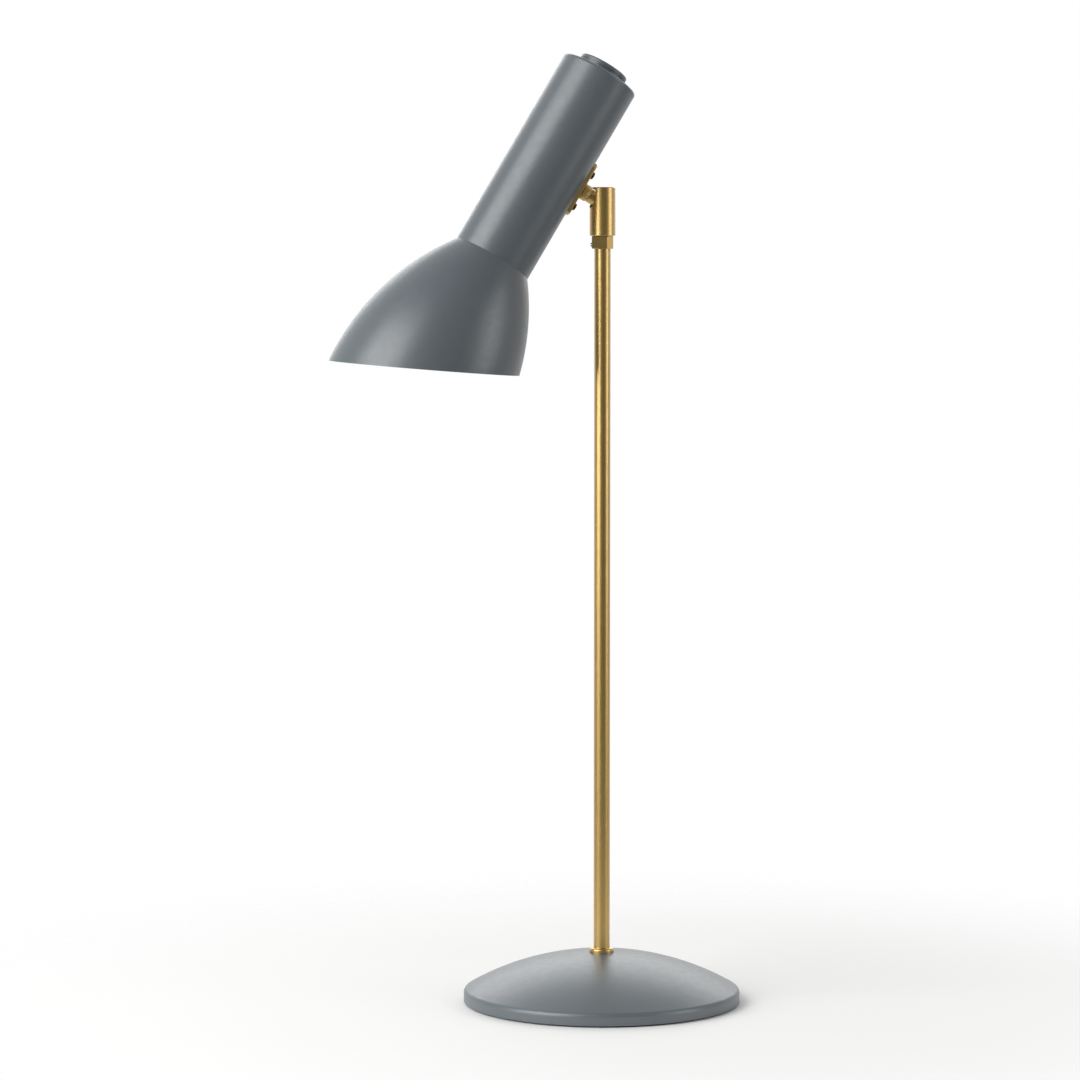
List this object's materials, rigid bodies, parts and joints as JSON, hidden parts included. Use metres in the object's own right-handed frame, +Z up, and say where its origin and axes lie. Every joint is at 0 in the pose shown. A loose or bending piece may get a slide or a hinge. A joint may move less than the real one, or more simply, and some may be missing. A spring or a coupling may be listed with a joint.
{
  "type": "desk lamp",
  "caption": "Desk lamp with a weighted domed foot, a straight brass stem and a ball-jointed tube head that flares into an oblique shade with a press switch on its end.",
  "frame": {"origin": "on the table under the stem's axis, at the centre of the round foot's underside", "axes": "+Z up along the stem; the head leans in the XZ plane with the shade's mouth towards -X and the switch end towards +X; the cable inlet faces +Y"},
  "size_m": [0.2543, 0.171, 0.5811],
  "materials": {
    "grey_paint": "satin",
    "shade_paint": "satin",
    "brass": "satin",
    "steel": "satin",
    "dark_steel": "satin",
    "nickel": "polished",
    "cast_iron": "matte",
    "felt": "matte",
    "black_rubber": "matte",
    "black_plastic": "satin",
    "white_plastic": "matte",
    "lead_sheath": "satin",
    "lead_brown": "satin",
    "lead_blue": "satin",
    "frosted_glass": "matte"
  },
  "bodies": {
    "base": {"base_shell": "grey_paint", "base_weight": "cast_iron", "base_pad": "felt", "cable_grommet": "black_rubber", "terminal_block": "white_plastic", "clamp_screws": "brass", "fixing_screw": "steel", "base_lead": "lead_sheath", "stem_tube": "brass", "stem_washer": "steel", "stem_nut": "steel", "stem_collar": "brass", "swivel_nut": "brass", "swivel_grub_screw": "steel", "swivel_spigot": "brass"},
    "barrel": {"joint_barrel": "brass", "stop_pin": "steel", "swivel_washer": "white_plastic", "ball_cup": "white_plastic", "ball_spring": "steel"},
    "ball": {"ball": "steel", "stalk": "brass", "stalk_ring": "brass", "stalk_washer": "white_plastic", "stalk_nut": "brass"},
    "head": {"head_tube": "grey_paint", "shade": "shade_paint", "saddle_plate": "brass", "saddle_screws": "dark_steel", "holder_strap": "steel", "holder_nipple": "steel", "holder_nut": "steel", "lampholder_cap": "black_plastic", "lampholder_body": "black_plastic", "lampholder_shell": "nickel", "lampholder_contact": "brass", "bulb_cap": "nickel", "bulb_globe": "frosted_glass", "switch_body": "black_plastic", "switch_bush": "nickel", "switch_nut": "nickel", "lead_live": "lead_brown", "lead_neutral": "lead_blue", "lead_switched": "lead_brown"},
    "button": {"push_button": "grey_paint", "button_plunger": "white_plastic"}
  },
  "joints": [
    {"name": "head_swivel", "type": "hinge", "parent": "base", "child": "barrel", "pos_m": [0, 0, 0.4709], "axis": [0, 0, 1], "range_deg": [-165, 165]},
    {"name": "head_tilt", "type": "hinge", "parent": "barrel", "child": "ball", "pos_m": [0, 0, 0.4905], "axis": [0, 1, 0], "range_deg": [-11, 48]},
    {"name": "head_roll", "type": "hinge", "parent": "ball", "child": "head", "pos_m": [0, 0, 0.4905], "axis": [-0.8545, 0, 0.5195], "range_deg": [-90, 90]},
    {"name": "button_press", "type": "slide", "parent": "head", "child": "button", "axis": [-0.5195, 0, -0.8545], "range_m": [0, 0.002], "stiffness_N_per_m": 600, "springref_m": -0.002}
  ]
}
